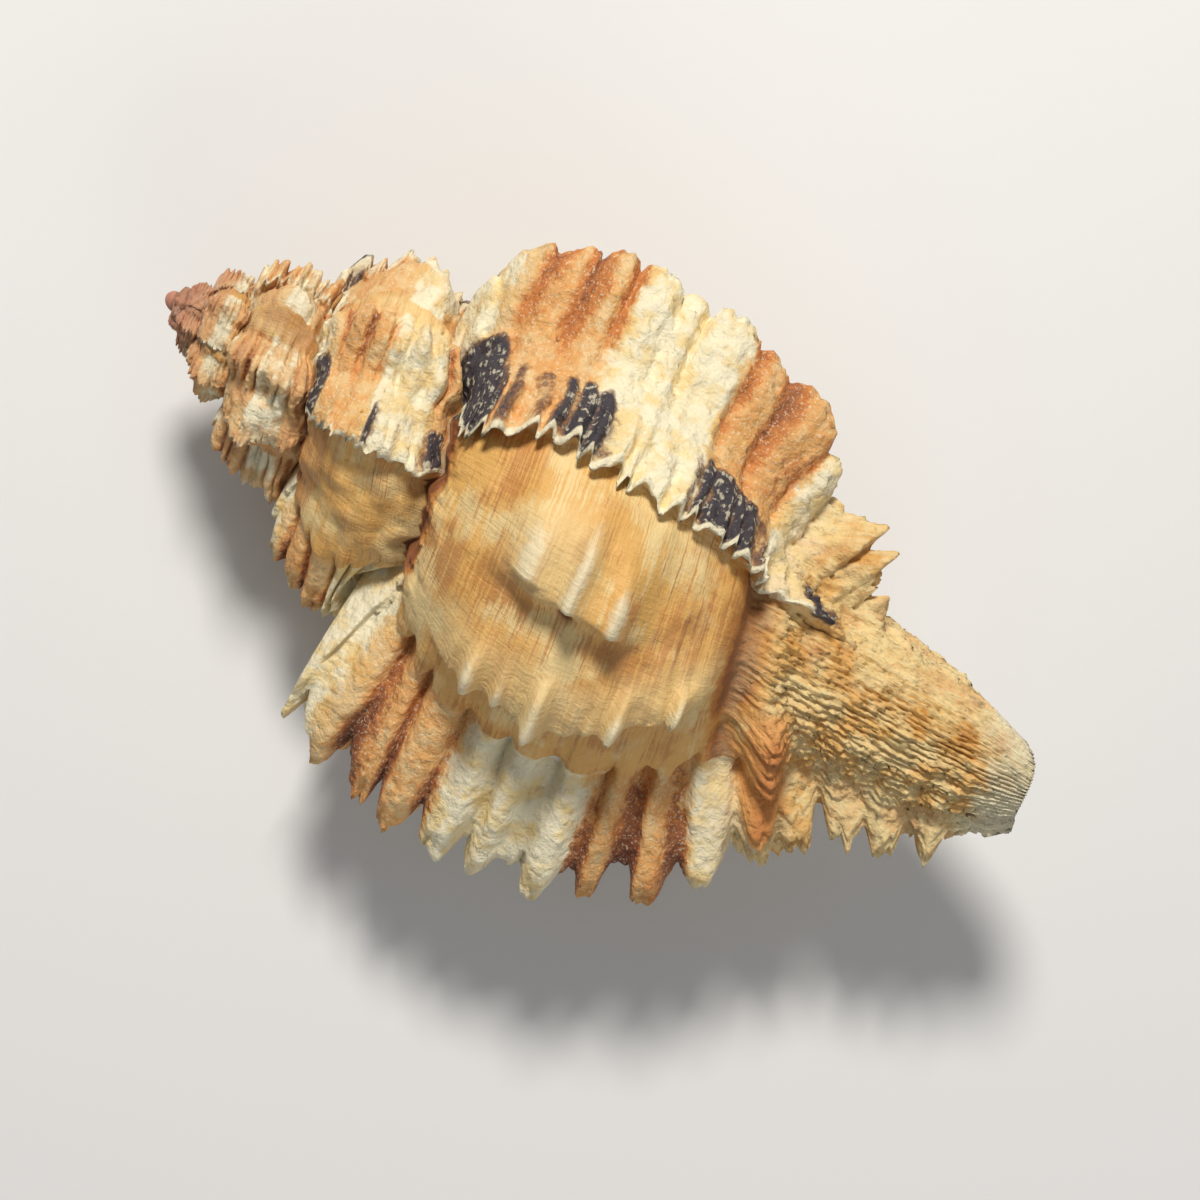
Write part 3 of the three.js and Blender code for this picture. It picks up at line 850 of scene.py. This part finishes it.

# On the varices: chalky cream with orange-brown bands, and red-brown grooves between the cords, deepened
# with painted shade.
varix_colour = paint(CHALK, CREAM, middle_sized.smooth(0.42, 0.62))
band = attribute("orange") + 0.9 * (middle_sized - 0.5) + 0.5 * (small - 0.5)
varix_colour = paint(varix_colour, GOLD, band.smooth(0.25, 0.5) * 0.7)
deep = attribute("pits") + 0.9 * (blotches(600) - 0.5) + 0.4 * (small - 0.5)
tan = band + 0.55 * (deep - 0.35)
varix_colour = paint(varix_colour, ORANGE_TAN, tan.smooth(0.5, 0.85) * 0.9)
varix_colour = paint(varix_colour, RUST, (tan + 0.5 * (deep - 0.4)).smooth(0.8, 1.2) * 0.9)
# Painted shade: the grooves between the cords near a crest are darkened to umber and brown, over their own
# red-brown.
groove_brown_and_shade = attribute("pits") * (0.2 + 0.85 * attribute("orange")) + 0.9 * (small - 0.5)
groove_brown_and_shade = groove_brown_and_shade - 0.3 * turn_wire.bell(140, 40)
varix_colour = paint(varix_colour, UMBER, groove_brown_and_shade.smooth(0.35, 0.75) * 0.85)
varix_colour = paint(varix_colour, BROWN, (groove_brown_and_shade + 0.5 * (middle_sized - 0.5)).smooth(0.7, 1.0) * 0.8)
crust = grain.smooth(0.56, 0.66) * attribute("on_varix").at_least(attribute("on_canal"))
varix_colour = paint(varix_colour, CHALK, crust * 0.45)
colour = paint(colour, varix_colour, (attribute("on_varix") + 0.5 * (small - 0.5)).smooth(0.3, 0.6))

# The canal is tan and cream, streaked brown.
canal_colour = paint(GOLD, CREAM, (middle_sized + 0.4 * (growth_lines - 0.5)).smooth(0.42, 0.56))
canal_colour = paint(canal_colour, HONEY, blotches(330).smooth(0.56, 0.7) * 0.7)
canal_colour = paint(canal_colour, BROWN, (growth_lines + 0.4 * (small - 0.5)).smooth(0.66, 0.8) * 0.5)
colour = paint(colour, canal_colour, attribute("on_canal") * 0.75)
colour = paint(colour, ORANGE_TAN, (attribute("orange_rib") + 0.4 * (small - 0.5)).smooth(0.1, 0.4))
colour = paint(colour, RUST, (attribute("orange_rib") + middle_sized - 0.5).smooth(0.4, 0.9) * 0.7)
canal_end = (at_reach + 6 * (middle_sized - 0.5)).smooth(REACH - 5, REACH - 1)
colour = paint(colour, CHALK, canal_end * 0.9)

# Black flutes behind each old edge, with chalky streaks, and the white edge itself.
dark_edge = attribute("dark") + 0.55 * (middle_sized - 0.5) + 0.45 * (small - 0.5)
colour = paint(colour, BROWN, dark_edge.smooth(0.3, 0.5) * 0.8)
colour = paint(colour, BLACK, dark_edge.smooth(0.42, 0.62))
streaks = (small + 0.5 * (threads - 0.5)).smooth(0.53, 0.66) * dark_edge.smooth(0.42, 0.62)
colour = paint(colour, CHALK, streaks * 0.55)
colour = paint(colour, CHALK, (attribute("edge_white") + 0.3 * (small - 0.5)).smooth(0.3, 0.7) * 0.9)

# The old whorls are stained tan. The apex is pink-brown. The inside is glazed white.
stain = (middle_sized + 0.4 * (small - 0.5)).smooth(0.4, 0.58)
colour = paint(colour, TAN, stain * turn_wire.smooth(390, 760) * 0.6)
colour = paint(colour, PINK, place_x.smooth(-0.036, -0.041) * 0.8)
inside = attribute("hollow").smooth(0.2, 0.8)
colour = paint(colour, GLAZE_WHITE, inside)

worn = (grain - 0.5) * 0.25
dull = 0.62 + worn + 0.15 * attribute("on_varix")
material.node_tree.links.new(colour.socket, surface.inputs["Base Color"])
material.node_tree.links.new((dull - 0.4 * inside).socket, surface.inputs["Roughness"])
surface.inputs["IOR"].default_value = 1.5
surface.inputs["Subsurface Weight"].default_value = 0.06
surface.inputs["Subsurface Radius"].default_value = (0.9, 0.5, 0.25)
surface.inputs["Subsurface Scale"].default_value = 0.0012

outside_only = 1 - inside
thread_height = (threads - 0.5) * (1 - attribute("on_varix") * 0.6) * 0.00008
fine_height = (small - 0.5) * (0.00010 + 0.00022 * attribute("on_varix").at_least(
    attribute("on_canal"))) + (grain - 0.5) * 0.00006
scaly = base.node("ShaderNodeTexVoronoi", {"Vector": base, "Scale": 900.0, "Randomness": 1.0})
chalky = attribute("on_varix").at_least(attribute("on_canal"))
scale_height = scaly.smooth(0.0, 0.7) * chalky * -0.00013
line_height = (growth_lines - 0.5) * 0.0001
bump = base.node("ShaderNodeBump", {
    "Height": (thread_height + fine_height + line_height + scale_height) * outside_only, "Strength": 1.0,
    "Distance": 1.0})
material.node_tree.links.new(bump.socket, surface.inputs["Normal"])
print("the material has", len(nodes), "nodes")

# %% [markdown]
# ## Growing the shell
#
# The modifier runs once. Its result is thinned where the surface is flat, laid in its resting place,
# and kept as a plain mesh.

# %%
geometry = start.node("GeometryNodeRealizeInstances", {"Geometry": geometry})
geometry = start.node("GeometryNodeSetMaterial", {"Geometry": geometry, "Material": material})
group_out = tree.nodes.new("NodeGroupOutput")
tree.links.new(geometry.socket, group_out.inputs["Shell"])

modifier = shell.modifiers.new("grow", "NODES")
modifier.node_group = tree
for item in tree.interface.items_tree:
    if item.in_out == "INPUT" and item.name in SETTINGS:
        modifier[item.identifier] = SETTINGS[item.name]


def evaluated(obj):
    graph = bpy.context.evaluated_depsgraph_get()
    return bpy.data.meshes.new_from_object(
        obj.evaluated_get(graph), preserve_all_data_layers=True, depsgraph=graph)


grown = evaluated(shell)
shell.modifiers.remove(modifier)
spots = np.zeros(len(grown.vertices) * 3, np.float32)
grown.vertices.foreach_get("co", spots)
spots = spots.reshape(-1, 3)
is_grown = np.zeros(len(grown.vertices), np.float32)
grown.attributes["grown"].data.foreach_get("value", is_grown)
spots[is_grown < 0.5] *= MILLIMETRE
grown.vertices.foreach_set("co", spots.ravel())
shell.data = grown
print("grown:", len(grown.vertices), "points")

MOST_TRIANGLES = 190_000
triangles = sum(len(p.vertices) - 2 for p in grown.polygons)
if triangles > MOST_TRIANGLES:
    thin = shell.modifiers.new("thin", "DECIMATE")
    thin.ratio = MOST_TRIANGLES / triangles
    thinned = evaluated(shell)
    shell.modifiers.remove(thin)
    shell.data = thinned
shell.data.transform(Matrix.Translation(APEX * MILLIMETRE) @ LAY.to_4x4())
# Where the shell rests, its points are worn flat.
spots = np.zeros(len(shell.data.vertices) * 3, np.float32)
shell.data.vertices.foreach_get("co", spots)
spots[2::3] = np.maximum(spots[2::3], 0)
shell.data.vertices.foreach_set("co", spots)
shell.data.shade_smooth()
shell.data.update()
print("kept:", sum(len(p.vertices) - 2 for p in shell.data.polygons), "triangles")

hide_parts("shell")
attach(shell, "root")

# %% [markdown]
# ## The stage
#
# A pale, plain floor, a large soft light from above and to one side, a weaker one opposite, and a
# bright even surround.

# %%
bpy.ops.mesh.primitive_plane_add(size=4)
floor = bpy.context.object
floor.name = "floor"
floor_material = bpy.data.materials.new("floor")
floor_material.use_nodes = True
floor_surface = floor_material.node_tree.nodes["Principled BSDF"]
floor_surface.inputs["Base Color"].default_value = (0.74, 0.73, 0.71, 1)
floor_surface.inputs["Roughness"].default_value = 0.8
floor.data.materials.append(floor_material)
floor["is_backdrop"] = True


def area_light(name, place, size, power, warmth):
    data = bpy.data.lights.new(name, "AREA")
    data.shape = "DISK"
    data.size = size
    data.energy = power
    data.color = warmth
    light = bpy.data.objects.new(name, data)
    light.location = place
    light.rotation_euler = (-Vector(place)).to_track_quat("-Z", "Y").to_euler()
    scene.collection.objects.link(light)


area_light("key", (-0.16, 0.29, 0.44), 0.12, 3.0, (1.0, 0.97, 0.93))
area_light("fill", (0.42, -0.30, 0.34), 0.40, 0.75, (0.94, 0.97, 1.0))
world = bpy.data.worlds.new("surround")
world.use_nodes = True
world.node_tree.nodes["Background"].inputs["Color"].default_value = (0.93, 0.96, 1.0, 1)
world.node_tree.nodes["Background"].inputs["Strength"].default_value = 0.22
scene.world = world

# %% [markdown]
# ## The camera
#
# It looks straight at the shell's back with a long lens, turned so that the shell lies across the
# picture from the apex at upper left to the canal at lower right.

# %%
SLOPE = math.radians(29.4)
along_axis, over_back, towards = LAY.transposed()
right = along_axis * math.cos(SLOPE) + over_back * math.sin(SLOPE)
up = over_back * math.cos(SLOPE) - along_axis * math.sin(SLOPE)
FOCUS = Vector((45.2, -4.5, 4))
target = (APEX + LAY @ FOCUS) * MILLIMETRE
FIELD, LENS, SENSOR = 0.1014, 100, 36
camera_data = bpy.data.cameras.new("camera")
camera_data.lens = LENS
camera_data.sensor_width = SENSOR
camera_data.clip_start = 0.01
camera = bpy.data.objects.new("camera", camera_data)
turned = Matrix((right, up, towards)).transposed()
camera.matrix_world = Matrix.Translation(target + towards * (FIELD * LENS / SENSOR)) @ turned.to_4x4()
scene.collection.objects.link(camera)
scene.camera = camera

scene.view_settings.view_transform = "Standard"

# %% [markdown]
# ## Sizes, and done

# %%
sizes["visual"] = box_size()
print("the visual shell spans", [round((b - a) * 1000, 1) for a, b in zip(*sizes["visual"])], "mm")
